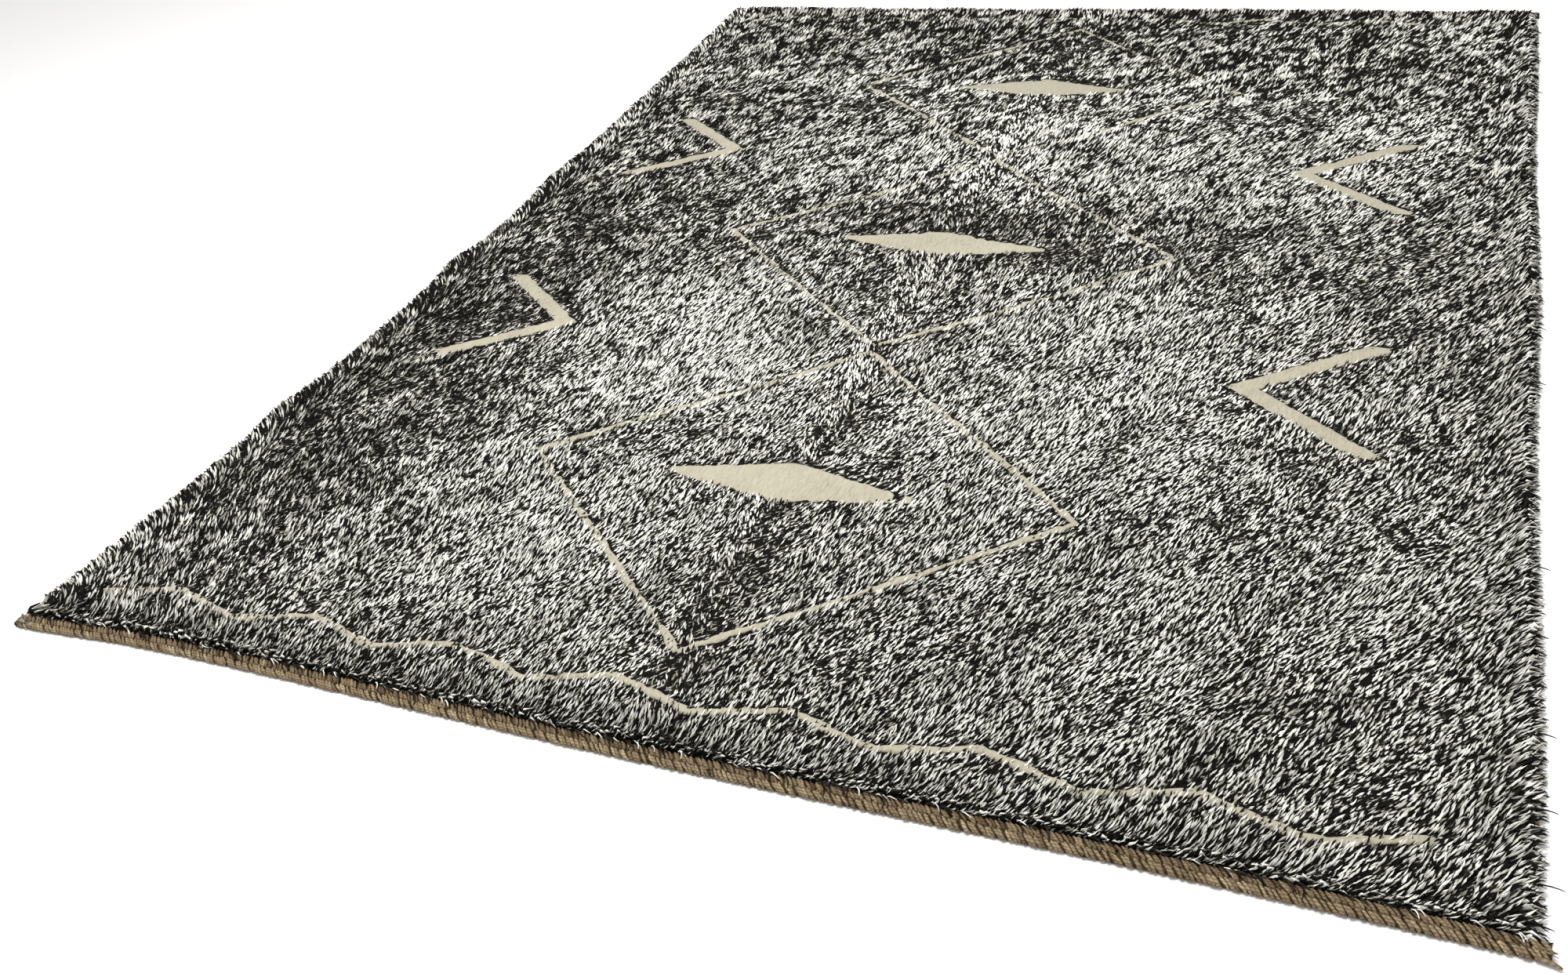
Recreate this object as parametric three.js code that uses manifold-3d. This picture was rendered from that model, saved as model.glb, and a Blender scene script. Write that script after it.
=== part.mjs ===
// A hand-made shag rug, laid flat: a ground cloth with its deep pile, and an overcast binding on each edge.
// Millimetres, +Z up. The origin is on the floor under the middle of the rug. X runs across it, Y along it.

import * as THREE from 'three'
import Module from 'manifold-3d'

const wasm = await Module()
wasm.setup()

// Overall size, over the loose locks at the sides and the bindings at the ends
const WIDTH = 2000
const LENGTH = 2620

// Cloth and pile
const CLOTH_THICK = 3
const PILE_HEIGHT = 20.5
const LUMP = 2.6
const SHORT_PILE = 15

// How far the outermost yarn stands past the edge of the cloth
const SIDE_REACH = 22
const END_REACH = 4

// Bindings: yarn sewn over the cloth's edge, so each one is a C in section with the cloth in its slot
const CLEARANCE = 0.3
const YARN_UNDER = 2.6
const END_BINDING = { inward: 17.4, outward: 3.2, top: 9 }
const SIDE_BINDING = { inward: 8.4, outward: 2.4, top: 8 }

// Where a binding's section turns: its foot and shoulder as shares of how far it stands out, its crown as a
// share of how far it reaches in, and how far below its top the shoulder and the inner edge lie
const TURNS = { foot: 0.2, shoulder: 0.3, crown: 0.45, shoulderDrop: 0.4, innerDrop: 0.8 }
const TAIL_LEFT = 4
const TAIL_RIGHT = 15
const CORNER_GAP = 1.2

const LIP_LIFT = YARN_UNDER + CLEARANCE
const LIP_TOP = LIP_LIFT + CLOTH_THICK
const PILE_GAP = 1
const CLOTH_HALF_WIDTH = WIDTH / 2 - SIDE_REACH
const CLOTH_HALF_LENGTH = LENGTH / 2 - END_REACH

// The rim of the field, from the floor up over the lip of the cloth and round the pile. Side and end
// are distances in from the cloth's own edge, and loose is how much of the pile's unevenness shows there.
const FLAT_INSET = 44
const SIDE_ROOT = SIDE_BINDING.inward + PILE_GAP
const END_ROOT = END_BINDING.inward + PILE_GAP
const PILE_OVER = 0.8
const OVER_BINDING = END_BINDING.top + PILE_OVER
const LIP_RUN = 3
const RIM = [
  { part: 'lip, where it lifts', side: SIDE_ROOT + LIP_RUN, end: END_ROOT + LIP_RUN, z: LIP_LIFT, loose: 0 },
  { part: 'lip edge, below', side: 0, end: 0, z: LIP_LIFT, loose: 0 },
  { part: 'lip edge, above', side: 0, end: 0, z: LIP_TOP, loose: 0 },
  { part: 'root of the pile', side: SIDE_ROOT, end: END_ROOT, z: LIP_TOP, loose: 0 },
  { part: 'above the binding', side: SIDE_ROOT, end: END_ROOT, z: OVER_BINDING, loose: 0 },
  { part: 'pile, low', side: -2, end: 11, z: 11.5, loose: 0.4 },
  { part: 'pile, widest', side: -5, end: 7, z: 16.5, loose: 1 },
  { part: 'pile, shoulder', side: 8, end: 19, z: 22, loose: 0.7 },
]
const RIM_LOOSE = 3.5
const WIDEST = RIM.find((row) => row.part === 'pile, widest')

// Mesh stations: even cells, with one more station near each corner, where the pile is rounded off
const CELLS_ACROSS = 20
const CELLS_ALONG = 28
const CORNER = 32

// Folds left from storage: one lengthwise and three across, each a soft ridge under a parting in the pile
const FOLD_HEIGHT = 5
const FOLD_HALF_WIDTH = 150
const PARTING = 3
const FOLD_FADE = 260
const FOLDS_ALONG = [0]
const FOLDS_ACROSS = [-LENGTH / 4, 0, LENGTH / 4]

// Outline: the left edge is drawn in between its corners, with three small scallops
const DRAWN_IN = 46
const DRAWN_SKEW = 0.8
const SCALLOP_HALF_WIDTH = 62
const SCALLOPS = [
  { along: 580, out: 17 },
  { along: 1100, out: 21 },
  { along: 1540, out: 17 },
]
const NEAR_CORNER_OUT = 10
const NEAR_CORNER_SPAN = 0.13
const EDGE_WANDER = 3

// Locks of pile at the rim: radius at the root and the middle, and how far each one starts inside the pile.
// Bend is where along its length it starts to droop, and its section is wider than it is high.
const SIDE_LOCKS = 74
const END_LOCKS = 36
const LOCK = { root: 6.2, middle: 4.8, buried: 11, z: 15.5, bend: 0.45, droop: 4.5, wide: 1.2, high: 0.8 }
const LOCK_RISE = 2.5
const LOCK_SLANT = { least: -0.38, most: 0.72 }
const LOCK_CORNER_SHARE = 0.012
const LOCK_PLACE = { least: 0.3, most: 0.7 }
const SIDE_LOCK_LENGTH = { least: 11, most: 19 }
const END_LOCK_LENGTH = { least: 8, most: 13 }

// Low-cut motifs: a lozenge in the middle of each third of the field and a chevron at each side between them
const LOZENGE = { halfWidth: 190, halfHeight: 48, blunt: 5, at: [-760, 0, 760] }
const CHEVRON = { apex: 560, reach: 190, rise: 150, thick: 46, at: [-380, 380] }
const CUT_TOP = 60

const lerp = THREE.MathUtils.lerp
const smoothstep = THREE.MathUtils.smoothstep

// An even number from 0 to 1 for a pair of whole numbers, the same on every run
function chance(a, b) {
  const mixed = Math.sin(a * 12.9898 + b * 78.233) * 43758.5453
  return mixed - Math.floor(mixed)
}

function stations(cells, length) {
  const inner = Array.from({ length: cells - 1 }, (_, i) => (i + 1) / cells)
  return [0, CORNER / length, ...inner, 1 - CORNER / length, 1]
}

const ACROSS = stations(CELLS_ACROSS, WIDTH)
const ALONG = stations(CELLS_ALONG, LENGTH)
const LAST_ACROSS = ACROSS.length - 1
const LAST_ALONG = ALONG.length - 1

// The four edges of the cloth, as the curve of each edge at a share of its length

function leftCurve(share) {
  const along = share * LENGTH
  const drawn = DRAWN_IN * Math.sin(Math.PI * share ** DRAWN_SKEW)
  const out = SCALLOPS.map((s) => s.out * Math.exp(-(((along - s.along) / SCALLOP_HALF_WIDTH) ** 2)))
  return -CLOTH_HALF_WIDTH + drawn - out.reduce((sum, value) => sum + value, 0)
}

function rightCurve(share) {
  return CLOTH_HALF_WIDTH + EDGE_WANDER * Math.sin(5 * Math.PI * share) - EDGE_WANDER
}

function nearCurve(share) {
  const corner = NEAR_CORNER_OUT * (1 - smoothstep(share, 0, NEAR_CORNER_SPAN))
  const wander = EDGE_WANDER * Math.sin(3 * Math.PI * share)
  return -CLOTH_HALF_LENGTH + NEAR_CORNER_OUT - corner + wander
}

function farCurve(share) {
  return CLOTH_HALF_LENGTH - EDGE_WANDER + EDGE_WANDER * Math.sin(4 * Math.PI * share)
}

// The curve's value on the straight runs between stations, so that every piece meets the same edge
function onRuns(curve, list, share) {
  const found = list.findIndex((value) => value >= share)
  const next = found < 0 ? list.length - 1 : Math.max(1, found)
  const from = list[next - 1]
  const to = list[next]
  return lerp(curve(from), curve(to), (share - from) / (to - from))
}

// A place in plan, by its share across and along the cloth
function plan(across, along) {
  const left = onRuns(leftCurve, ALONG, along)
  const right = onRuns(rightCurve, ALONG, along)
  const near = onRuns(nearCurve, ACROSS, across)
  const far = onRuns(farCurve, ACROSS, across)
  return [lerp(left, right, across), lerp(near, far, along)]
}

// The share moved in from an edge by a distance, at the two edges alone
function inFromEdge(share, distance, halfLength) {
  const moved = distance / (2 * halfLength)
  if (share === 0) return moved
  return share === 1 ? 1 - moved : share
}

// The share with both edges moved in by a distance and all between them drawn closer
function drawnCloser(share, distance, halfLength) {
  const moved = distance / (2 * halfLength)
  return lerp(moved, 1 - moved, share)
}

// Height of the folds at a place: full in the middle of the rug and gone at its rim
function foldAt(x, y) {
  const inFromRim = Math.min(CLOTH_HALF_WIDTH - Math.abs(x), CLOTH_HALF_LENGTH - Math.abs(y))
  const away = [...FOLDS_ALONG.map((at) => Math.abs(x - at)), ...FOLDS_ACROSS.map((at) => Math.abs(y - at))]
  const ridge = 1 - smoothstep(Math.min(...away), 0, FOLD_HALF_WIDTH)
  return ridge * smoothstep(inFromRim, FLAT_INSET, FOLD_FADE)
}

function solidOf(vertices, triangles) {
  return new wasm.Manifold(
    new wasm.Mesh({
      numProp: 3,
      vertProperties: new Float32Array(vertices.flat()),
      triVerts: new Uint32Array(triangles.flat()),
    })
  )
}

function geometryOf(solid) {
  const mesh = solid.getMesh()
  const geometry = new THREE.BufferGeometry()
  geometry.setAttribute('position', new THREE.BufferAttribute(mesh.vertProperties, 3))
  geometry.setIndex(new THREE.BufferAttribute(mesh.triVerts, 1))
  geometry.computeVertexNormals()
  return geometry
}

// Field: ground cloth and pile

// Grid places round the rim, anticlockwise from the near left corner
function rimPlaces() {
  const places = []
  for (let i = 0; i < LAST_ACROSS; i++) places.push([i, 0])
  for (let j = 0; j < LAST_ALONG; j++) places.push([LAST_ACROSS, j])
  for (let i = LAST_ACROSS; i > 0; i--) places.push([i, LAST_ALONG])
  for (let j = LAST_ALONG; j > 0; j--) places.push([0, j])
  return places
}

function rimPoint(row, i, j) {
  const loose = row.loose * RIM_LOOSE * (chance(i, j) - 0.5) * 2
  const across = inFromEdge(ACROSS[i], row.side + loose, CLOTH_HALF_WIDTH)
  const along = inFromEdge(ALONG[j], row.end + loose, CLOTH_HALF_LENGTH)
  const [x, y] = plan(across, along)
  const isCorner = (i === 0 || i === LAST_ACROSS) && (j === 0 || j === LAST_ALONG)
  const rounding = isCorner && row.loose > 0 ? CORNER * (1 - Math.SQRT1_2) : 0
  return [x - Math.sign(x) * rounding, y - Math.sign(y) * rounding, row.z]
}

function slab() {
  const wide = ACROSS.length
  const gridPoint = (i, j, height) => {
    const across = drawnCloser(ACROSS[i], FLAT_INSET, CLOTH_HALF_WIDTH)
    const along = drawnCloser(ALONG[j], FLAT_INSET, CLOTH_HALF_LENGTH)
    const [x, y] = plan(across, along)
    return [x, y, height(x, y, i, j)]
  }
  const under = (x, y) => FOLD_HEIGHT * foldAt(x, y)
  const over = (x, y, i, j) => {
    const fold = foldAt(x, y)
    const lump = LUMP * (chance(i, j + 50) - 0.5) * 2
    return FOLD_HEIGHT * fold + CLOTH_THICK + PILE_HEIGHT + lump - PARTING * fold
  }
  const vertices = []
  const triangles = []
  const places = rimPlaces()
  const addGrid = (height) => {
    const start = vertices.length
    for (let j = 0; j <= LAST_ALONG; j++) {
      for (let i = 0; i <= LAST_ACROSS; i++) vertices.push(gridPoint(i, j, height))
    }
    return start
  }
  const underStart = addGrid(under)
  const overStart = addGrid(over)
  for (let j = 0; j < LAST_ALONG; j++) {
    for (let i = 0; i < LAST_ACROSS; i++) {
      const a = j * wide + i
      const [b, c, d] = [a + 1, a + 1 + wide, a + wide]
      for (const [p, q, r] of [[a, b, c], [a, c, d]]) {
        triangles.push([overStart + p, overStart + q, overStart + r])
        triangles.push([underStart + p, underStart + r, underStart + q])
      }
    }
  }
  const rings = [places.map(([i, j]) => underStart + j * wide + i)]
  for (const row of RIM) {
    rings.push(places.map(([i, j]) => vertices.push(rimPoint(row, i, j)) - 1))
  }
  rings.push(places.map(([i, j]) => overStart + j * wide + i))
  for (let k = 0; k + 1 < rings.length; k++) {
    const [inner, outer] = [rings[k], rings[k + 1]]
    for (let p = 0; p < places.length; p++) {
      const q = (p + 1) % places.length
      triangles.push([inner[p], inner[q], outer[q]], [inner[p], outer[q], outer[p]])
    }
  }
  return solidOf(vertices, triangles)
}

// A lock: three-sided, thinning to a point, rooted in the pile. It leaves the rim at a slant and droops.
function lock(place, outward, length, slant, seed) {
  const along = new THREE.Vector3(-outward.y, outward.x, 0)
  const up = new THREE.Vector3(0, 0, 1)
  const heading = outward.clone().addScaledVector(along, slant).normalize()
  const across = new THREE.Vector3(-heading.y, heading.x, 0)
  const rise = LOCK_RISE * (chance(seed, 3) - 0.5)
  const steps = [
    { out: -LOCK.buried, z: LOCK.z, radius: LOCK.root },
    { out: length * LOCK.bend, z: LOCK.z + rise, radius: LOCK.middle },
  ]
  const vertices = []
  for (const step of steps) {
    const centre = place.clone().addScaledVector(heading, step.out).setZ(step.z)
    for (const corner of [0, 1, 2]) {
      const turn = Math.PI / 2 + (corner * 2 * Math.PI) / 3
      const point = centre.clone()
      point.addScaledVector(across, step.radius * Math.cos(turn) * LOCK.wide)
      point.addScaledVector(up, step.radius * Math.sin(turn) * LOCK.high)
      vertices.push(point.toArray())
    }
  }
  const tip = place.clone().addScaledVector(heading, length).setZ(LOCK.z - LOCK.droop + rise)
  vertices.push(tip.toArray())
  const triangles = [[0, 2, 1]]
  for (const corner of [0, 1, 2]) {
    const next = (corner + 1) % 3
    triangles.push([corner, next, next + 3], [corner, next + 3, corner + 3], [corner + 3, next + 3, 6])
  }
  return solidOf(vertices, triangles)
}

function locks() {
  const across = (edge) => inFromEdge(edge, WIDEST.side, CLOTH_HALF_WIDTH)
  const along = (edge) => inFromEdge(edge, WIDEST.end, CLOTH_HALF_LENGTH)
  const edges = [
    { count: SIDE_LOCKS, out: [-1, 0], at: (share) => plan(across(0), share), reach: SIDE_LOCK_LENGTH },
    { count: SIDE_LOCKS, out: [1, 0], at: (share) => plan(across(1), share), reach: SIDE_LOCK_LENGTH },
    { count: END_LOCKS, out: [0, -1], at: (share) => plan(share, along(0)), reach: END_LOCK_LENGTH },
    { count: END_LOCKS, out: [0, 1], at: (share) => plan(share, along(1)), reach: END_LOCK_LENGTH },
  ]
  return edges.flatMap((edge, number) =>
    Array.from({ length: edge.count }, (_, k) => {
      const seed = number * 100 + k
      const step = (k + lerp(LOCK_PLACE.least, LOCK_PLACE.most, chance(seed, 1))) / edge.count
      const share = lerp(LOCK_CORNER_SHARE, 1 - LOCK_CORNER_SHARE, step)
      const [x, y] = edge.at(share)
      const length = lerp(edge.reach.least, edge.reach.most, chance(seed, 2))
      const outward = new THREE.Vector3(edge.out[0], edge.out[1], 0)
      const slant = lerp(LOCK_SLANT.least, LOCK_SLANT.most, chance(seed, 4))
      return lock(new THREE.Vector3(x, y, 0), outward, length, slant, seed)
    })
  )
}

// A low-cut motif: a strip of cross-sections, each a pair of points in plan, cut down to the short pile
function carve(sections) {
  const floor = (point) => CLOTH_THICK + SHORT_PILE + FOLD_HEIGHT * foldAt(point[0], point[1])
  const vertices = sections.flatMap(([left, right]) => [
    [...left, floor(left)],
    [...right, floor(right)],
    [...left, CUT_TOP],
    [...right, CUT_TOP],
  ])
  const last = (sections.length - 1) * 4
  const triangles = [[0, 1, 3], [0, 3, 2], [last, last + 3, last + 1], [last, last + 2, last + 3]]
  const sides = [[1, 0], [3, 1], [2, 3], [0, 2]]
  for (let k = 0; k < last; k += 4) {
    for (const [p, q] of sides) triangles.push([k + p, k + q, k + 4 + q], [k + p, k + 4 + q, k + 4 + p])
  }
  return solidOf(vertices, triangles)
}

function lozenge(y) {
  const { halfWidth, halfHeight, blunt } = LOZENGE
  const sections = [-1, -0.5, 0, 0.5, 1].map((share) => {
    const half = lerp(halfHeight, blunt, Math.abs(share))
    return [[share * halfWidth, y + half], [share * halfWidth, y - half]]
  })
  return carve(sections)
}

// The chevron points at the middle of the rug, and its two arms run outwards, one up and one down
function chevron(side, y) {
  const { apex, reach, rise, thick } = CHEVRON
  const places = [[1, -1], [0.5, -0.5], [0, 0], [0.5, 0.5], [1, 1]]
  const sections = places.map(([out, up]) => {
    const x = apex + reach * out
    return [[side * x, y + rise * up], [side * (x + thick), y + rise * up]]
  })
  return carve(side > 0 ? sections : sections.map(([inner, outer]) => [outer, inner]))
}

function field() {
  let solid = slab()
  for (const piece of locks()) solid = solid.add(piece)
  for (const y of LOZENGE.at) solid = solid.subtract(lozenge(y))
  for (const y of CHEVRON.at) {
    for (const side of [-1, 1]) solid = solid.subtract(chevron(side, y))
  }
  return geometryOf(solid)
}

// Bindings

// The C of a binding, as distance outward from the cloth's edge and height, anticlockwise
function bindingSection({ inward, outward, top }) {
  const slotTop = LIP_TOP + CLEARANCE
  return [
    [-inward, 0],
    [outward * TURNS.foot, 0],
    [outward, YARN_UNDER],
    [outward, slotTop],
    [outward * TURNS.shoulder, top - TURNS.shoulderDrop],
    [-inward * TURNS.crown, top],
    [-inward, top - TURNS.innerDrop],
    [-inward, slotTop],
    [CLEARANCE, slotTop],
    [CLEARANCE, YARN_UNDER],
    [-inward, YARN_UNDER],
  ]
}

// The section carried along an edge. Each step gives the edge's point, and outward is its direction in plan.
function binding(size, steps, outward) {
  const section = bindingSection(size)
  const count = section.length
  const vertices = steps.flatMap(([x, y]) =>
    section.map(([out, z]) => [x + outward[0] * out, y + outward[1] * out, z])
  )
  const last = (steps.length - 1) * count
  const caps = THREE.ShapeUtils.triangulateShape(section.map(([out, z]) => new THREE.Vector2(out, z)), [])
  const triangles = caps.flatMap(([a, b, c]) => [[a, b, c], [last + a, last + c, last + b]])
  for (let k = 0; k < last; k += count) {
    for (let p = 0; p < count; p++) {
      const q = (p + 1) % count
      triangles.push([k + p, k + count + q, k + q], [k + p, k + count + p, k + count + q])
    }
  }
  return geometryOf(solidOf(vertices, triangles))
}

// An end binding runs from corner to corner and a little past them, where its yarn is tied off
function endBinding(share, outward) {
  const steps = ACROSS.map((across) => plan(across, share))
  steps.unshift([steps[0][0] - TAIL_LEFT, steps[0][1]])
  const corner = steps[steps.length - 1]
  steps.push([corner[0] + TAIL_RIGHT, corner[1]])
  return binding(END_BINDING, outward < 0 ? steps : steps.reverse(), [0, outward])
}

// A side binding runs between the two end bindings
function sideBinding(share, outward) {
  const stop = (END_BINDING.inward + CORNER_GAP) / (2 * CLOTH_HALF_LENGTH)
  const inner = ALONG.filter((along) => along > stop && along < 1 - stop)
  const steps = [stop, ...inner, 1 - stop].map((along) => plan(share, along))
  return binding(SIDE_BINDING, outward > 0 ? steps : steps.reverse(), [outward, 0])
}

const heatherPile = new THREE.MeshStandardMaterial({ color: '#77756e', roughness: 0.95, metalness: 0 })
const taupeYarn = new THREE.MeshStandardMaterial({ color: '#7d715b', roughness: 0.9, metalness: 0 })

const rug = new THREE.Group()

function addPiece(name, geometry, material) {
  const mesh = new THREE.Mesh(geometry, material)
  mesh.name = name
  rug.add(mesh)
}

addPiece('field', field(), heatherPile)
addPiece('binding_near', endBinding(0, -1), taupeYarn)
addPiece('binding_far', endBinding(1, 1), taupeYarn)
addPiece('binding_left', sideBinding(0, -1), taupeYarn)
addPiece('binding_right', sideBinding(1, 1), taupeYarn)

export default rug
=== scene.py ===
import math

import bpy
import numpy as np
from mathutils import Matrix, Vector
from mathutils.bvhtree import BVHTree


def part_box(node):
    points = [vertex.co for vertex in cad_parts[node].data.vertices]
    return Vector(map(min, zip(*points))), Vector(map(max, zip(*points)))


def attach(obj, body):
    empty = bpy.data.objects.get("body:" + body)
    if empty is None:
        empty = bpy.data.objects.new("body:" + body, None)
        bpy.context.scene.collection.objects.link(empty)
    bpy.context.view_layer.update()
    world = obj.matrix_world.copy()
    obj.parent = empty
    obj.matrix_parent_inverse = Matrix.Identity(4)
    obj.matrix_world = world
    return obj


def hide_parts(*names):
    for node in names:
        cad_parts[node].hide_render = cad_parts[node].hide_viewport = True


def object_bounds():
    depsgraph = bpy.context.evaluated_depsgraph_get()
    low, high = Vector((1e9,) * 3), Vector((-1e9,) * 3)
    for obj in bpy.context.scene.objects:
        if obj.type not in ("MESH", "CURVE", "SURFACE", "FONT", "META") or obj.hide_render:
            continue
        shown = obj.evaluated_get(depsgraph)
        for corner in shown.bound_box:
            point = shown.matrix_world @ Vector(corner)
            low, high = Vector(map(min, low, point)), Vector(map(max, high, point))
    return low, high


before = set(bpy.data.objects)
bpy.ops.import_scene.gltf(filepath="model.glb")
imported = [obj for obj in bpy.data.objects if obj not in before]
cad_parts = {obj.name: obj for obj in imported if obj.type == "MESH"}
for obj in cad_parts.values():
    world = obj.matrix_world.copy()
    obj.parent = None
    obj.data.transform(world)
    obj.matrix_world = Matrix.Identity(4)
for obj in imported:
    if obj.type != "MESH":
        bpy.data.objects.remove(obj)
cad_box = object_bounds()

# Ground cloth
# A plain wool weave, woven by hand on a loom. The pile is tied into it, so only its underside and its
# edges can be seen. It lies flat, with one soft fold along it and three across from storage.

mm = 0.001
CLOTH_THICK = 3 * mm
CLOTH_CELLS = (38, 50)
SIDE_BINDING_OUT = 2.4 * mm
END_BINDING_OUT = 3.2 * mm
SAMPLE_PITCH = 20 * mm
SAMPLED_X, SAMPLED_Y = 965 * mm, 1285 * mm
LIFTED_RIM = 60 * mm


def edge_line(node, along, sign):
    """The outer line of a binding: the places along it, and how far out it reaches at each."""
    points = np.array([vertex.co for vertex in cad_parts[node].data.vertices])
    stops = np.unique(points[:, along].round(4))
    reach = [(sign * points[abs(points[:, along] - stop) < mm / 5, 1 - along]).max() for stop in stops]
    return stops, sign * np.array(reach)


LEFT_LINE = edge_line("binding_left", 1, -1)
RIGHT_LINE = edge_line("binding_right", 1, 1)
NEAR_LINE = edge_line("binding_near", 0, -1)
FAR_LINE = edge_line("binding_far", 0, 1)


def left_at(y):
    return np.interp(y, *LEFT_LINE)


def right_at(y):
    return np.interp(y, *RIGHT_LINE)


def near_at(x):
    return np.interp(x, *NEAR_LINE)


def far_at(x):
    return np.interp(x, *FAR_LINE)


def inside_sides(x, y):
    """How far a place lies in from the outer line of the nearer side binding."""
    return np.minimum(x - left_at(y), right_at(y) - x)


def inside_ends(x, y):
    """How far a place lies in from the outer line of the nearer end binding."""
    return np.minimum(y - near_at(x), far_at(x) - y)


def spread(across, along, side, end):
    """A place on the rug from its shares across and along, inside margins at the sides and the ends."""
    y = near_at(0) + end + along * (far_at(0) - near_at(0) - 2 * end)
    left, right = left_at(y) + side, right_at(y) - side
    x = left + across * (right - left)
    near, far = near_at(x) + end, far_at(x) - end
    return x, near + along * (far - near)


def heights_of_field():
    """Heights of the underside and the top of the field solid, on an even grid over it."""
    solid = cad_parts["field"]
    tree = BVHTree.FromObject(solid, bpy.context.evaluated_depsgraph_get())
    low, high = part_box("field")
    xs = np.arange(low.x, high.x + SAMPLE_PITCH, SAMPLE_PITCH)
    ys = np.arange(low.y, high.y + SAMPLE_PITCH, SAMPLE_PITCH)
    under, top = np.zeros((len(xs), len(ys))), np.zeros((len(xs), len(ys)))
    up, down = Vector((0, 0, 1)), Vector((0, 0, -1))
    for i, x in enumerate(xs):
        for j, y in enumerate(ys):
            hit = tree.ray_cast(Vector((x, y, -1)), up)[0]
            if hit:
                under[i, j], top[i, j] = hit.z, tree.ray_cast(Vector((x, y, 1)), down)[0].z
    return xs, ys, under, top


FIELD_XS, FIELD_YS, FIELD_UNDER, FIELD_TOP = heights_of_field()


def on_grid(table, x, y):
    """The value of a table on the field's grid at places between its points."""
    u = np.clip((x - FIELD_XS[0]) / SAMPLE_PITCH, 0, len(FIELD_XS) - 1.001)
    v = np.clip((y - FIELD_YS[0]) / SAMPLE_PITCH, 0, len(FIELD_YS) - 1.001)
    i, j = u.astype(int), v.astype(int)
    fu, fv = u - i, v - j
    near = table[i, j] * (1 - fu) + table[i + 1, j] * fu
    far = table[i, j + 1] * (1 - fu) + table[i + 1, j + 1] * fu
    return near * (1 - fv) + far * fv


def fold_lift(x, y):
    """How far the folds lift the cloth off the floor, without the lift at its bound edges."""
    inner_x = np.clip(x, left_at(y) + LIFTED_RIM, right_at(y) - LIFTED_RIM)
    inner_y = np.clip(y, near_at(x) + LIFTED_RIM, far_at(x) - LIFTED_RIM)
    return on_grid(FIELD_UNDER, inner_x, inner_y)


def linear(code):
    """An sRGB hex colour as linear red, green, blue and alpha."""
    values = [int(code[k : k + 2], 16) / 255 for k in (1, 3, 5)]
    return (*[v / 12.92 if v <= 0.04045 else ((v + 0.055) / 1.055) ** 2.4 for v in values], 1)


def add(tree, kind, inputs=None, stops=(), **settings):
    """Adds a shader node with its settings, its inputs, set or linked, and a colour ramp's stops."""
    made = tree.nodes.new("ShaderNode" + kind)
    for name, value in settings.items():
        setattr(made, name, value)
    for name, value in (inputs or {}).items():
        if isinstance(value, bpy.types.NodeSocket):
            tree.links.new(value, made.inputs[name])
        else:
            made.inputs[name].default_value = value
    if stops:
        elements = made.color_ramp.elements
        while len(elements) < len(stops):
            elements.new(1)
        for element, (place, code) in zip(elements, stops):
            element.position = place
            element.color = linear(code)
    return made


def new_material(name):
    made = bpy.data.materials.new(name)
    made.use_nodes = True
    made.node_tree.nodes.clear()
    return made, made.node_tree


# Handspun undyed wool in plain weave: matt, grey-brown, with the weft beaten close over the warp. The
# real threads lie about 4 and 6 mm apart, and the weave is drawn three times as coarse, so that it
# shows. A wave texture has 20 radians of wave in a metre.
WEFT_MM = 12.57
WARP_MM = 18.85
WAVE_MM = 1000 * 2 * math.pi / 20
CLOTH_FLECKS_PER_M = 90
cloth_wool, tree = new_material("plain_weave_wool")
place = add(tree, "TexCoord").outputs["Object"]
weft = add(tree, "TexWave", {"Vector": place, "Scale": WAVE_MM / WEFT_MM, "Distortion": 1.5, "Detail": 1},
           bands_direction="Y").outputs["Fac"]
warp = add(tree, "TexWave", {"Vector": place, "Scale": WAVE_MM / WARP_MM, "Distortion": 1, "Detail": 1},
           bands_direction="X").outputs["Fac"]
weave = add(tree, "Math", {0: weft, 1: warp}, operation="MULTIPLY").outputs[0]
flecks = add(tree, "TexNoise", {"Vector": place, "Scale": CLOTH_FLECKS_PER_M, "Detail": 3}).outputs["Fac"]
shade = add(tree, "Math", {0: weave, 1: flecks}, operation="MULTIPLY").outputs[0]
colour = add(tree, "ValToRGB", {"Fac": shade},
             stops=[(0.05, "#3D3830"), (0.25, "#8C8473"), (0.6, "#B5AD9B")]).outputs["Color"]
bump = add(tree, "Bump", {"Height": weave, "Strength": 0.6, "Distance": 0.8 * mm}).outputs["Normal"]
shader = add(tree, "BsdfPrincipled", {"Base Color": colour, "Roughness": 0.9, "Normal": bump})
add(tree, "OutputMaterial", {"Surface": shader.outputs["BSDF"]})


def select_only(*pieces):
    """Selects these pieces and nothing else, the first of them as the active one."""
    bpy.ops.object.select_all(action="DESELECT")
    for piece in pieces:
        piece.select_set(True)
        bpy.context.view_layer.objects.active = pieces[0]


def new_grid(name, cells_across, cells_along):
    """A flat grid whose vertices run from 0 to 1 both ways."""
    bpy.ops.mesh.primitive_grid_add(x_subdivisions=cells_across, y_subdivisions=cells_along, size=1,
                                    location=(0.5, 0.5, 0))
    made = bpy.context.object
    bpy.ops.object.transform_apply(location=True, rotation=True, scale=True)
    made.name = name
    return made


def places(piece):
    """The places of a piece's vertices, one row for each."""
    found = np.zeros(len(piece.data.vertices) * 3)
    piece.data.vertices.foreach_get("co", found)
    return found.reshape(-1, 3)


def move_to(piece, x, y, z):
    piece.data.vertices.foreach_set("co", np.stack([x, y, z], axis=1).ravel())
    piece.data.update()


def thicken(piece, thickness, offset):
    """Gives a sheet its thickness, upwards with an offset of 1 and downwards with -1."""
    select_only(piece)
    made = piece.modifiers.new("thickness", "SOLIDIFY")
    made.thickness = thickness
    made.offset = offset
    bpy.ops.object.modifier_apply(modifier=made.name)


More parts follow.
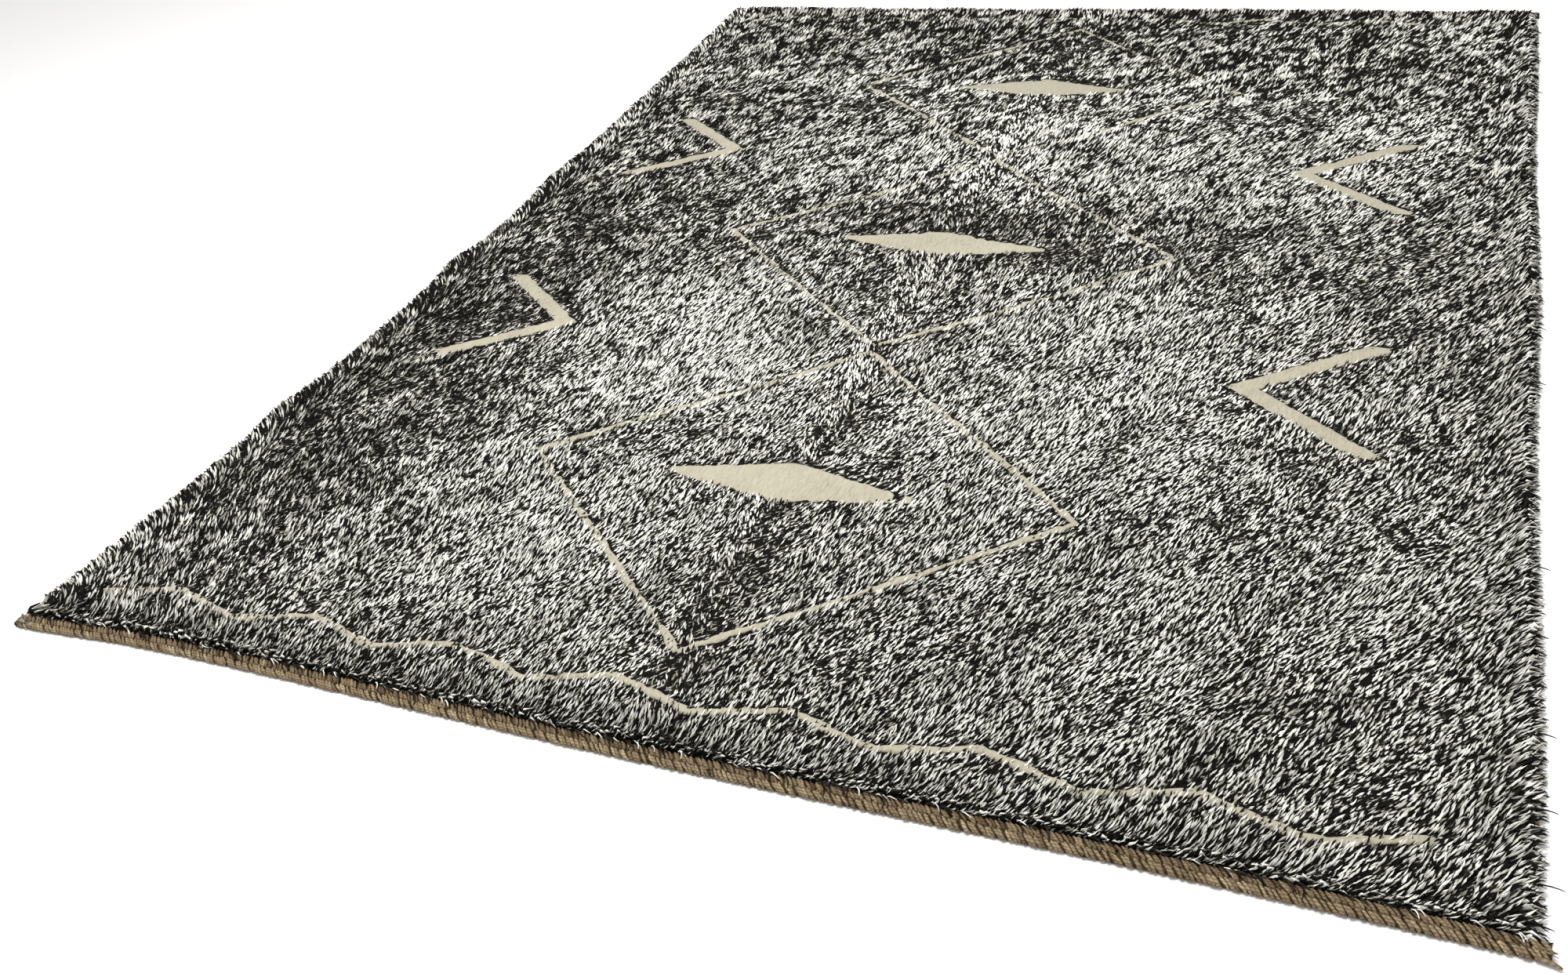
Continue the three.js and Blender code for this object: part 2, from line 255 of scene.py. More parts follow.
def finish_piece(piece, material, rounded=True):
    """Smooth or flat shading, one material and its body."""
    piece.data.materials.clear()
    piece.data.materials.append(material)
    piece.data.polygons.foreach_set("use_smooth", [rounded] * len(piece.data.polygons))
    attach(piece, "root")
    return piece


ground_cloth = new_grid("ground_cloth", *CLOTH_CELLS)
flat = places(ground_cloth)
x, y = spread(flat[:, 0], flat[:, 1], SIDE_BINDING_OUT, END_BINDING_OUT)
sampled_x, sampled_y = np.clip(x, -SAMPLED_X, SAMPLED_X), np.clip(y, -SAMPLED_Y, SAMPLED_Y)
move_to(ground_cloth, x, y, on_grid(FIELD_UNDER, sampled_x, sampled_y))
thicken(ground_cloth, CLOTH_THICK, 1)
finish_piece(ground_cloth, cloth_wool)
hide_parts("field")

# Foot of the pile
# The tight lower half of the tufts, where black and pale yarn come out of the cloth side by side. Little
# light gets down to it, so it reads as the dark between the loose ends.

FOOT_CELLS = (60, 78)
FOOT_TOP = 16.5 * mm
FOOT_THICK = 12 * mm
FOOT_LUMP = 0.8 * mm
FOOT_RIM_DROP = 7 * mm
FOOT_RIM_DEPTH = 70 * mm
SIDE_ROOT = 12 * mm
END_ROOT = 22 * mm
DRIFT_CELLS = 96


def smooth(share):
    """A share from 0 to 1, eased at both ends."""
    share = np.clip(share, 0, 1)
    return share * share * (3 - 2 * share)


def drift(x, y, size, seed):
    """Smooth random values from -1 to 1, which change over about size metres."""
    table = np.random.default_rng(seed).uniform(-1, 1, (DRIFT_CELLS, DRIFT_CELLS))
    u, v = x / size + DRIFT_CELLS / 2, y / size + DRIFT_CELLS / 2
    i, j = np.floor(u).astype(int), np.floor(v).astype(int)
    fu, fv = smooth(u - i), smooth(v - j)
    after_i, after_j = (i + 1) % DRIFT_CELLS, (j + 1) % DRIFT_CELLS
    i, j = i % DRIFT_CELLS, j % DRIFT_CELLS
    near = table[i, j] * (1 - fu) + table[after_i, j] * fu
    far = table[i, after_j] * (1 - fu) + table[after_i, after_j] * fu
    return near * (1 - fv) + far * fv


def foot_top(x, y):
    """Height of the foot of the pile, which falls off towards the rim."""
    rim = np.minimum(inside_sides(x, y) - SIDE_ROOT, inside_ends(x, y) - END_ROOT)
    lower = FOOT_RIM_DROP * smooth(1 - rim / FOOT_RIM_DEPTH)
    return fold_lift(x, y) + FOOT_TOP + FOOT_LUMP * drift(x, y, 40 * mm, 1) - lower


# Wool seen from above in the shade of the loose ends: charcoal, with pale strokes the width of a yarn,
# which run the way the pile was combed. Cut wool throws back hardly any gloss.
COMBED_DEGREES = 46
STROKE_WIDTH_MM = 3.6
STROKE_LENGTH_MM = 15
STROKE_STOPS = [(0.53, "#0C0A08"), (0.57, "#1A1713"), (0.61, "#8A867B"), (0.69, "#C9C6BB")]
WOOL_GLOSS = 0.12
dark_wool, tree = new_material("shaded_wool_tufts")
place = add(tree, "TexCoord").outputs["Object"]
turned_place = add(tree, "VectorRotate", {"Vector": place, "Angle": -math.radians(COMBED_DEGREES)},
                   rotation_type="Z_AXIS").outputs["Vector"]
stroke_scale = (1000 / STROKE_LENGTH_MM, 1000 / STROKE_WIDTH_MM, 0)
combed = add(tree, "Mapping", {"Vector": turned_place, "Scale": stroke_scale}).outputs["Vector"]
strokes = add(tree, "TexNoise", {"Vector": combed, "Scale": 1, "Detail": 2, "Roughness": 0.6}).outputs["Fac"]
colour = add(tree, "ValToRGB", {"Fac": strokes}, stops=STROKE_STOPS).outputs["Color"]
bump = add(tree, "Bump", {"Height": strokes, "Strength": 0.8, "Distance": 2 * mm}).outputs["Normal"]
shader = add(tree, "BsdfPrincipled", {"Base Color": colour, "Roughness": 0.95, "Normal": bump,
                                      "Specular IOR Level": WOOL_GLOSS})
add(tree, "OutputMaterial", {"Surface": shader.outputs["BSDF"]})

pile_foot = new_grid("pile_foot", *FOOT_CELLS)
flat = places(pile_foot)
x, y = spread(flat[:, 0], flat[:, 1], SIDE_ROOT, END_ROOT)
move_to(pile_foot, x, y, foot_top(x, y))
thicken(pile_foot, FOOT_THICK, -1)
x, y, z = places(pile_foot).T
move_to(pile_foot, x, y, np.maximum(z, CLOTH_THICK))
finish_piece(pile_foot, dark_wool)

# Low-cut motifs
# Cream wool tied into the same cloth and clipped short, so that it lies like velvet a little below the
# loose ends round it: a lozenge in each open diamond and a chevron at each side between the diamonds.

LOZENGE_HALF_WIDTH = 190 * mm
LOZENGE_HALF_HEIGHT = 48 * mm
LOZENGE_BLUNT = 5 * mm
LOZENGE_PLACES = [-760 * mm, 0, 760 * mm]
LOZENGE_CELLS = (90, 20)
CHEVRON_APEX = 560 * mm
CHEVRON_REACH = 190 * mm
CHEVRON_RISE = 150 * mm
CHEVRON_THICK = 46 * mm
CHEVRON_PLACES = [-380 * mm, 380 * mm]
CHEVRON_CELLS = (100, 12)
VELVET_TOP = 17.8 * mm
VELVET_THICK = 12 * mm
VELVET_ROUNDING = 0.9 * mm
VELVET_RAGGED = 2.4 * mm
VELVET_LUMPS = [(0.5 * mm, 14 * mm, 3), (0.4 * mm, 5 * mm, 4)]  # height, size and seed

# Clipped cream wool: a soft matt nap with a fine grain along the rows of knots, which lie about 3 mm
# apart, a few darker pores, and broad clouds where the yarn came from another batch.
KNOT_ROW_MM = 3.125
KNOT_ROW_DEGREES = 52
VELVET_STOPS = [(0.34, "#6E6857"), (0.42, "#968F7C"), (0.54, "#A39D89"), (0.7, "#B3AD9A")]
FIBRES_PER_M = 900
CLOUDS_PER_M = 14
velvet_wool, tree = new_material("clipped_cream_wool")
place = add(tree, "TexCoord").outputs["Object"]
rows = add(tree, "Mapping", {"Vector": place, "Rotation": (0, 0, -math.radians(KNOT_ROW_DEGREES)),
                             "Scale": (1, 0.22, 1)}).outputs["Vector"]
grain = add(tree, "TexNoise", {"Vector": rows, "Scale": 1000 / KNOT_ROW_MM, "Detail": 3,
                               "Roughness": 0.65}).outputs["Fac"]
fibres = add(tree, "TexNoise", {"Vector": place, "Scale": FIBRES_PER_M, "Detail": 2}).outputs["Fac"]
clouds = add(tree, "TexNoise", {"Vector": place, "Scale": CLOUDS_PER_M, "Detail": 2}).outputs["Fac"]
mixed = add(tree, "Mix", {0: 0.35, 2: grain, 3: fibres}, data_type="FLOAT").outputs[0]
tone = add(tree, "Mix", {0: 0.22, 2: mixed, 3: clouds}, data_type="FLOAT").outputs[0]
colour = add(tree, "ValToRGB", {"Fac": tone}, stops=VELVET_STOPS).outputs["Color"]
bump = add(tree, "Bump", {"Height": mixed, "Strength": 0.7, "Distance": 1.4 * mm}).outputs["Normal"]
shader = add(tree, "BsdfPrincipled", {"Base Color": colour, "Roughness": 0.88, "Sheen Weight": 0.15,
                                      "Sheen Roughness": 0.5, "Normal": bump})
add(tree, "OutputMaterial", {"Surface": shader.outputs["BSDF"]})


def velvet_patch(name, cells, place_of):
    """A low-cut patch: a grid laid out by place_of from shares along and across it, closed underneath."""
    patch = new_grid(name, *cells)
    flat = places(patch)
    along, across = flat[:, 0], flat[:, 1]
    x, y = place_of(along, across)
    x, y = x + VELVET_RAGGED * drift(x, y, 9 * mm, 18), y + VELVET_RAGGED * drift(x, y, 9 * mm, 19)
    border = np.minimum(np.minimum(along, 1 - along) * 6, np.minimum(across, 1 - across) * 5)
    lumps = sum(high * drift(x, y, size, seed) for high, size, seed in VELVET_LUMPS)
    z = fold_lift(x, y) + VELVET_TOP + lumps - VELVET_ROUNDING * smooth(1 - border)
    move_to(patch, x, y, z)
    thicken(patch, VELVET_THICK, -1)
    return patch


def lozenge_place(y_middle):
    def place_of(along, across):
        share = 2 * along - 1
        half = LOZENGE_HALF_HEIGHT + (LOZENGE_BLUNT - LOZENGE_HALF_HEIGHT) * abs(share)
        return share * LOZENGE_HALF_WIDTH, y_middle + (2 * across - 1) * half

    return place_of


# A chevron's grid runs towards the near end on the right and towards the far end on the left, so that it
# faces up on both sides.
def chevron_place(side, y_middle):
    def place_of(along, across):
        arm = abs(2 * along - 1)
        x = CHEVRON_APEX + CHEVRON_REACH * arm + CHEVRON_THICK * across
        return side * x, y_middle - (2 * along - 1) * CHEVRON_RISE * side

    return place_of


def joined(name, parts):
    """Several meshes as one piece."""
    select_only(*parts)
    bpy.ops.object.join()
    parts[0].name = name
    return parts[0]


lozenges = [velvet_patch(f"lozenge_{k}", LOZENGE_CELLS, lozenge_place(y))
            for k, y in enumerate(LOZENGE_PLACES)]
chevrons = [velvet_patch(f"chevron_{side}_{k}", CHEVRON_CELLS, chevron_place(side, y))
            for side in (-1, 1) for k, y in enumerate(CHEVRON_PLACES)]
cream_lozenges = finish_piece(joined("cream_lozenges", lozenges), velvet_wool)
cream_chevrons = finish_piece(joined("cream_chevrons", chevrons), velvet_wool)

# Thin cream lines
# Single rows of cream knots, clipped short like the motifs: three open diamonds in a chain down the
# middle, and a zigzag across the rug near each end.

DIAMOND_HALF_WIDTH = 420 * mm
DIAMOND_HALF_LENGTH = 370 * mm
ZIGZAG_PLACE = 1205 * mm
ZIGZAG_RISE = 32 * mm
ZIGZAG_STEP = 118 * mm
ZIGZAG_STEPS = 15
LINE_WIDTH = 12 * mm
LINE_TOP = 18 * mm
LINE_STEP = 7 * mm
LINE_SWELL = 0.4
LINE_SWAY = 2 * mm
LINE_WAVE = 1.2 * mm
LINE_SECTION = [(-1, -4), (-0.9, -1.2), (-0.4, 0), (0.4, 0), (0.9, -1.2), (1, -4), (0, -7)]


def diamond(y_middle):
    corners = [(0, -1), (1, 0), (0, 1), (-1, 0), (0, -1)]
    return [(DIAMOND_HALF_WIDTH * u, y_middle + DIAMOND_HALF_LENGTH * v) for u, v in corners]


def zigzag(sign):
    start = -ZIGZAG_STEP * ZIGZAG_STEPS / 2
    return [(start + k * ZIGZAG_STEP, sign * ZIGZAG_PLACE + ZIGZAG_RISE * (k % 2 * 2 - 1) / 2)
            for k in range(ZIGZAG_STEPS + 1)]


LINES = [diamond(y) for y in LOZENGE_PLACES] + [zigzag(-1), zigzag(1)]


def mesh_piece(name, vertices, faces, uv=None):
    """A piece from arrays of vertices and faces, with its own UV map where it has one."""
    faces = np.asarray(faces)
    corners = faces.shape[1]
    made = bpy.data.meshes.new(name)
    made.vertices.add(len(vertices))
    made.vertices.foreach_set("co", np.asarray(vertices, dtype=np.float32).ravel())
    made.loops.add(faces.size)
    made.loops.foreach_set("vertex_index", faces.ravel().astype(np.int32))
    made.polygons.add(len(faces))
    made.polygons.foreach_set("loop_start", np.arange(0, faces.size, corners, dtype=np.int32))
    if uv is not None:
        layer = made.uv_layers.new(name="OFBake")
        layer.data.foreach_set("uv", np.asarray(uv, dtype=np.float32)[faces.ravel()].ravel())
    made.update(calc_edges=True)
    made.validate()
    piece = bpy.data.objects.new(name, made)
    bpy.context.scene.collection.objects.link(piece)
    return piece


def tube_faces(rings, sides):
    """Triangles of a closed tube whose points are listed ring by ring, with a fan over each end."""
    faces = []
    for ring in range(rings - 1):
        for p in range(sides):
            a, b = ring * sides + p, ring * sides + (p + 1) % sides
            faces += [(a, b, b + sides), (a, b + sides, a + sides)]
    last = (rings - 1) * sides
    faces += [(0, p + 1, p) for p in range(1, sides - 1)]
    faces += [(last, last + p, last + p + 1) for p in range(1, sides - 1)]
    return np.array(faces)


def line_mesh(corners, seed):
    """A thin line as a closed strip whose width wanders. Its section is in half widths and millimetres."""
    steps = []
    for (ax, ay), (bx, by) in zip(corners, corners[1:]):
        count = max(2, round(math.hypot(bx - ax, by - ay) / LINE_STEP))
        steps += [(ax + (bx - ax) * k / count, ay + (by - ay) * k / count) for k in range(count)]
    steps = np.array([*steps, corners[-1]])
    heading = np.gradient(steps, axis=0)
    heading /= np.linalg.norm(heading, axis=1, keepdims=True)
    side = np.stack([-heading[:, 1], heading[:, 0]], axis=1)
    x, y = steps[:, 0], steps[:, 1]
    half = LINE_WIDTH / 2 * (1 + LINE_SWELL * drift(x, y, 10 * mm, seed))
    sway = LINE_SWAY * drift(x, y, 14 * mm, seed + 1)
    top = fold_lift(x, y) + LINE_TOP + LINE_WAVE * drift(x, y, 17 * mm, seed + 2)
    rings = [np.column_stack([steps + side * (sway + half * out)[:, None], top + drop * mm])
             for out, drop in LINE_SECTION]
    vertices = np.stack(rings, axis=1).reshape(-1, 3)
    return vertices, tube_faces(len(steps), len(LINE_SECTION))[:, ::-1]


def stacked(meshes):
    """Several meshes of vertices, faces and, where they have them, UVs as one."""
    joined_up, start = [], 0
    for points, corners, *uv in meshes:
        joined_up.append((points, corners + start, *uv))
        start += len(points)
    return [np.concatenate(arrays) for arrays in zip(*joined_up)]


line_meshes = [line_mesh(line, 20 + 3 * k) for k, line in enumerate(LINES)]
cream_lines = mesh_piece("cream_lines", *stacked(line_meshes))
finish_piece(cream_lines, velvet_wool)

# Shag
# Loose ends of plied wool in pale grey and in black: about 11 mm of each lies over the foot, a good 2 mm
# thick, and more at the far end and past the sides. They were combed towards the right and the far end,
# part along the fold, and splay out at the rim.

PALE_PITCH = 5.1 * mm
BLACK_PITCH = 6.3 * mm
PALE_WIDTH = 2.15 * mm
BLACK_WIDTH = 2.3 * mm
PALE_RIM_PITCH = 5.5 * mm
BLACK_RIM_PITCH = 3 * mm
RIM_WIDTH = 2 * mm
YARN_LENGTH = 11 * mm
LONGER_OPENED = 0.35
WIDER_OPENED = 0.65
LONGER_AT_SIDES = 1.5
SIDE_DEPTH = 26 * mm
TONES = 24

# The nap's direction in degrees from +X towards +Y, at five places across the rug
NAP_PLACES = [-0.95, -0.5, 0, 0.5, 0.95]
NEAR_NAP = [88, 54, 56, 46, 34]
MIDDLE_NAP = [42, 32, 44, 36, 30]
FAR_NAP = [52, 50, 50, 44, 38]
NEAR_NAP_END, NEAR_NAP_BLEND = -1.1, 0.8
FAR_NAP_START, FAR_NAP_BLEND = 0.55, 0.35
NAP_WAVES = [(12, 420 * mm, 7), (12, 130 * mm, 8)]  # degrees, size and seed
NAP_RUFFLE = 11
FOLD_NAP = 100
FOLD_NAP_WIDTH = 34 * mm
FOLD_NAP_SHARE = 0.9
FOLD_SWAY = 12 * mm
RIM_SPLAY = 36 * mm
LEFT_SPLAY = 152
RIGHT_SPLAY = 26
NEAR_SPLAY = -9
FAR_SPLAY = 62

# Zones of painted light and shade on the nap and its folds: centre, half sizes and how much paler
NAP_SHADE_ZONES = [
    (0.10, 0.43, 0.80, 0.17, 0.15),
    (0.93, 0.05, 0.20, 0.62, -0.6),
    (0.00, 1.08, 1.20, 0.29, -0.8),
    (0.20, 0.05, 0.60, 0.14, -1.0),
    (0.13, 0.01, 0.12, 0.06, -0.6),
    (-0.19, -0.30, 0.11, 0.06, -0.7),
    (0.08, -0.34, 0.09, 0.04, -0.6),
    (-0.85, 0.05, 0.25, 0.70, -1.0),
    (-0.86, -0.28, 0.14, 0.13, -0.8),
    (-0.80, -0.91, 0.12, 0.12, -0.9),
    (-0.80, -0.80, 0.35, 0.60, -0.5),
    (0.02, -0.93, 0.035, 0.38, -1.1),
    (0.55, -0.75, 0.50, 0.45, 0.2),
    (0.72, -1.03, 0.08, 0.045, -0.9),
    (-0.30, -1.02, 0.28, 0.20, 0.4),
    (-0.40, -0.40, 0.30, 0.24, 0.8),
]
CLOUDS = [(0.3, 260 * mm, 5), (0.4, 90 * mm, 6)]  # how much paler, size and seed
PALEST = 1.2


def nap_shade_and_tone(x, y):
    """How pale the pile looks at a place, from about -1 to 1: painted light and shade in zones, and random
    clouds.
    """
    value = sum(paler * drift(x, y, size, seed) for paler, size, seed in CLOUDS)
    for across, along, half_across, half_along, paler in NAP_SHADE_ZONES:
        value += paler * np.exp(-(((x - across) / half_across) ** 4) - ((y - along) / half_along) ** 4)
    return np.clip(value, -PALEST, PALEST)


# Yarns of one colour lie together in locks, slim at the near right corner and wider where they have
# opened up.
CLOSED_X, CLOSED_Y = 0.9, -1.4
CLOSED_REACH = 0.3
OPENED_OVER = 2.4
SLIM_LOCK = 4.2 * mm
WIDE_LOCK = 7.4 * mm
LOCK_SQUEEZED = 0.45
LOCK_SWING = 1.1
TUFT_SWING = 0.3
TUFT_SIZE = 21 * mm
LOCK_LIFT = 2 * mm
LOCK_SHARE = 0.2
LOCK_SHARE_OPENED = 0.29
NAP_SHADE_SHARE = 0.18
TONE_SPREAD = 0.2


def opened(x, y):
    """How far the locks have opened up, from 0 at the near right corner to 1 at the far end."""
    return smooth((np.hypot(x - CLOSED_X, y - CLOSED_Y) - CLOSED_REACH) / OPENED_OVER)


def lock(x, y):
    """Which way a lock of yarns side by side differs from its neighbours, from about -1 to 1."""
    lie = math.radians(COMBED_DEGREES)
    along, across = x * math.cos(lie) + y * math.sin(lie), y * math.cos(lie) - x * math.sin(lie)
    slim = drift(LOCK_SQUEEZED * along, across, SLIM_LOCK, 16)
    wide = drift(LOCK_SQUEEZED * along, across, WIDE_LOCK, 17)
    return LOCK_SWING * (slim + (wide - slim) * opened(x, y)) + TUFT_SWING * drift(x, y, TUFT_SIZE, 21)


def turned(angle, towards, weight):
    """An angle in degrees turned the short way towards another by a weight from 0 to 1."""
    return angle + ((towards - angle + 180) % 360 - 180) * weight


def by_the_edge(inside, depth):
    """How much a place belongs to an edge: 1 up to half a depth inside it, and 0 past one and a half."""
    return smooth(1.5 - inside / depth)


def nap(x, y):
    """The direction in plan in which the pile lies, in degrees from +X."""
    near, middle, far = (np.interp(x, NAP_PLACES, degrees)
                         for degrees in (NEAR_NAP, MIDDLE_NAP, FAR_NAP))
    angle = near + (middle - near) * smooth((y - NEAR_NAP_END) / NEAR_NAP_BLEND)
    angle = angle + (far - middle) * smooth((y - FAR_NAP_START) / FAR_NAP_BLEND)
    for degrees, size, seed in NAP_WAVES:
        angle = angle + degrees * drift(x, y, size, seed)
    fold = FOLD_SWAY * drift(x * 0, y, 300 * mm, 9)
    angle = turned(angle, FOLD_NAP, FOLD_NAP_SHARE * np.exp(-(((x - fold) / FOLD_NAP_WIDTH) ** 2)))
    angle = angle + NAP_RUFFLE * drift(x, y, 34 * mm, 10)
    for inside, out in (
        (x - left_at(y), LEFT_SPLAY),
        (right_at(y) - x, RIGHT_SPLAY),
        (y - near_at(x), NEAR_SPLAY),
        (far_at(x) - y, FAR_SPLAY),
    ):
        angle = turned(angle, out, by_the_edge(inside, RIM_SPLAY))
    return angle


def patch_gap(x, y):
    """Distance to the nearest cream motif, negative inside it."""
    gap = np.full(np.shape(x), 1.0)
    slope = (LOZENGE_HALF_HEIGHT - LOZENGE_BLUNT) / LOZENGE_HALF_WIDTH
    for middle in LOZENGE_PLACES:
        above = abs(y - middle) - (LOZENGE_HALF_HEIGHT - slope * abs(x))
        beyond = abs(x) - LOZENGE_HALF_WIDTH
        gap = np.minimum(gap, np.maximum(above / math.hypot(1, slope), beyond))
    lean = CHEVRON_REACH / CHEVRON_RISE
    for middle in CHEVRON_PLACES:
        rise = abs(y - middle)
        edge = abs(x) - CHEVRON_APEX - lean * rise
        across = np.maximum(-edge, edge - CHEVRON_THICK) / math.hypot(1, lean)
        gap = np.minimum(gap, np.maximum(across, rise - CHEVRON_RISE))
    return gap


def line_gap(x, y):
    """Distance to the nearest cream line, negative inside it."""
    gap = np.full(np.shape(x), 1.0)
    for line in LINES:
        for (ax, ay), (bx, by) in zip(line, line[1:]):
            length = math.hypot(bx - ax, by - ay)
            ux, uy = (bx - ax) / length, (by - ay) / length
            along = np.clip((x - ax) * ux + (y - ay) * uy, 0, length)
            away = np.hypot(x - ax - along * ux, y - ay - along * uy)
            gap = np.minimum(gap, away - LINE_WIDTH / 2)
    return gap


# The loose ends follow the top of the field solid, read inside its rounded rim. Over the rim they come
# down in a quarter round of their own.
TOP_READ_SIDE = 46 * mm
TOP_READ_END = 52 * mm
TOP_LUMPS = [(2.2 * mm, 48 * mm, 11), (1.3 * mm, 22 * mm, 12)]  # height, size and seed
SIDE_LOW = 7 * mm
END_LOW = 12.5 * mm
ROUND_START = 8 * mm
ROUND_DEPTH = 34 * mm


def quarter_round(share):
    return np.sqrt(1 - (1 - np.clip(share, 0, 1)) ** 2)


def pile_top(x, y):
    """Height of the pile's loose ends at a place, rounded off at the rim and lower past it."""
    inner_x = np.clip(x, left_at(y) + TOP_READ_SIDE, right_at(y) - TOP_READ_SIDE)
    inner_y = np.clip(y, near_at(x) + TOP_READ_END, far_at(x) - TOP_READ_END)
    lumps = sum(high * drift(x, y, size, seed) for high, size, seed in TOP_LUMPS)
    top = on_grid(FIELD_TOP, inner_x, inner_y) + lumps
    by_side = quarter_round((inside_sides(x, y) + ROUND_START) / ROUND_DEPTH)
    by_end = quarter_round((inside_ends(x, y) - ROUND_START) / ROUND_DEPTH)
    return np.minimum(SIDE_LOW + (top - SIDE_LOW) * by_side, END_LOW + (top - END_LOW) * by_end)


JITTER = 0.45
AHEAD_MM = (-1, 4)
LINE_CROSSING = 0.3


def scattered(pitch, seed, keep):
    """Roots of yarns on a jittered grid, with the share kept that keep gives, clear of motifs and lines."""
    random = np.random.default_rng(seed)
    start, stop = cad_box
    xs, ys = np.meshgrid(np.arange(start.x, stop.x, pitch), np.arange(start.y, stop.y, pitch))
    x = (xs + random.uniform(-JITTER, JITTER, xs.shape) * pitch).ravel()
    y = (ys + random.uniform(-JITTER, JITTER, ys.shape) * pitch).ravel()
    inside = np.minimum(inside_sides(x, y) - SIDE_ROOT, inside_ends(x, y) - END_ROOT) > 0
    lie, ahead = np.radians(nap(x, y)), random.uniform(*AHEAD_MM, x.shape) * mm
    ahead_x, ahead_y = x + ahead * np.cos(lie), y + ahead * np.sin(lie)
    crossing = random.uniform(0, 1, x.shape) < LINE_CROSSING
    clear = (patch_gap(ahead_x, ahead_y) > 0) & (crossing | (line_gap(ahead_x, ahead_y) > 0))
    kept = inside & clear & (random.uniform(0, 1, x.shape) < keep(x, y))
    return x[kept], y[kept]


ROWS_FROM_ENDS = 24 * mm
ROWS_FROM_SIDES = 16 * mm
ROW_DEPTH_MM = (1, 7)


def rim_rows(pitch, seed):
    """Roots of the yarns at the very rim, where the side of the pile shows."""
    random = np.random.default_rng(seed)
    low, high = cad_box
    y = np.arange(low.y + ROWS_FROM_ENDS, high.y - ROWS_FROM_ENDS, pitch)
    x = np.arange(low.x + ROWS_FROM_SIDES, high.x - ROWS_FROM_SIDES, pitch)
    inset_y = random.uniform(*ROW_DEPTH_MM, (2, len(y))) * mm
    inset_x = random.uniform(*ROW_DEPTH_MM, (2, len(x))) * mm
    px = [left_at(y) + SIDE_ROOT + inset_y[0], right_at(y) - SIDE_ROOT - inset_y[1], x, x]
    py = [y, y, near_at(x) + END_ROOT + inset_x[0], far_at(x) - END_ROOT - inset_x[1]]
    return np.concatenate(px), np.concatenate(py)


# How far past the side bindings the yarns end, in millimetres: uneven and in clumps on the left, and in
# a straighter row on the right. One in fifty is longer.
LEFT_OUT, LEFT_CLUMP, LEFT_BAY, LEFT_UNEVEN = 10, 8, 3, 1.6
RIGHT_OUT, RIGHT_CLUMP, RIGHT_UNEVEN = 8.5, 2, 0.8
LONG_YARN, LONG_YARNS = 5, 0.02


def side_limit(y, on_left, random):
    """How far inside a side binding's outer line each yarn ends: past it, it is negative."""
    loose = random.normal(0, np.where(on_left, LEFT_UNEVEN, RIGHT_UNEVEN))
    loose = loose - LONG_YARN * (random.uniform(0, 1, len(y)) < LONG_YARNS)
    left = LEFT_OUT + LEFT_CLUMP * drift(y, y * 0, 17 * mm, 13) + LEFT_BAY * drift(y, y * 0, 60 * mm, 14)
    right = RIGHT_OUT + RIGHT_CLUMP * drift(y, y * 0, 24 * mm, 15)
    return (loose - np.where(on_left, left, right)) * mm


# A yarn comes out of the foot, bends over about a third of the way along and ends just below the top of
# the pile. Heights are over the top of the pile, as mean and spread.
LIE_SPREAD, BEND_SPREAD, ROLL_SPREAD = 8, 12, 24  # degrees
LENGTHS = (0.7, 1.2)
WIDTHS = (0.82, 1.15)
MIDDLE_AT = (0.26, 0.4)
END_SHARE = 0.66
SHORTEST = 0.3
ROOT_SUNK = 1.5 * mm
MIDDLE_HEIGHT = (-2.2 * mm, 1.2 * mm)
END_HEIGHT = (-1.7 * mm, 1.5 * mm)
OVER_MOTIF_MM = (-0.5, 8)
OVER_LINE_MM = (0, 13)
END_CLEAR_MM = (16, 2.2)


def lay_yarns(x, y, width, drop, seed):
    """Where each yarn's root, middle and end lie, with the sideways direction of its back."""
    random = np.random.default_rng(seed)
    count = len(x)
    heading = np.radians(nap(x, y) + random.normal(0, LIE_SPREAD, count))
    bend = np.radians(random.normal(0, BEND_SPREAD, count))
    longer = LONGER_OPENED * opened(x, y) + LONGER_AT_SIDES * by_the_edge(inside_sides(x, y), SIDE_DEPTH)
    reach = YARN_LENGTH * (1 + longer) * random.uniform(*LENGTHS, count)
    limits = (
        (patch_gap, -random.uniform(*OVER_MOTIF_MM, count) * mm),
        (line_gap, -random.uniform(*OVER_LINE_MM, count) * mm),
        (inside_sides, side_limit(y, x < 0, random)),
        (inside_ends, random.normal(*END_CLEAR_MM, count) * mm),
    )
    for depth, limit in limits:
        here, there = depth(x, y), depth(x + reach * np.cos(heading), y + reach * np.sin(heading))
        share = np.clip((here - limit) / np.maximum(here - there, mm / 10), SHORTEST, 1)
        reach = np.where(there < limit, reach * share, reach)
    root = np.stack([x, y, foot_top(x, y) - ROOT_SUNK], axis=1)
    first = np.stack([np.cos(heading), np.sin(heading), 0 * x], axis=1)
    second = np.stack([np.cos(heading + bend), np.sin(heading + bend), 0 * x], axis=1)
    middle = root + first * (reach * random.uniform(*MIDDLE_AT, count))[:, None]
    end = middle + second * (reach * END_SHARE)[:, None]
    middle[:, 2] = pile_top(middle[:, 0], middle[:, 1]) + random.normal(*MIDDLE_HEIGHT, count) - drop
    end[:, 2] = pile_top(end[:, 0], end[:, 1]) + random.normal(*END_HEIGHT, count) - drop
    roll = np.radians(random.normal(0, ROLL_SPREAD, count))
    side = np.stack([-np.sin(heading) * np.cos(roll), np.cos(heading) * np.cos(roll), np.sin(roll)], axis=1)
    half = width / 2 * (1 + WIDER_OPENED * opened(x, y)) * random.uniform(*WIDTHS, count)
    return root, middle, end, side, half, random


def tone_columns(x, y, random, swing):
    """Which of the tones each yarn has: about the middle, paler in the nap's painted light and in pale
    locks, darker in its painted shade and in dark locks.
    """
    value = 0.5 + swing * (nap_shade_and_tone(x, y) + lock(x, y)) + random.normal(0, TONE_SPREAD, len(x))
    return np.clip((value * TONES).astype(int), 0, TONES - 1)


COLUMN_HALF = 0.4


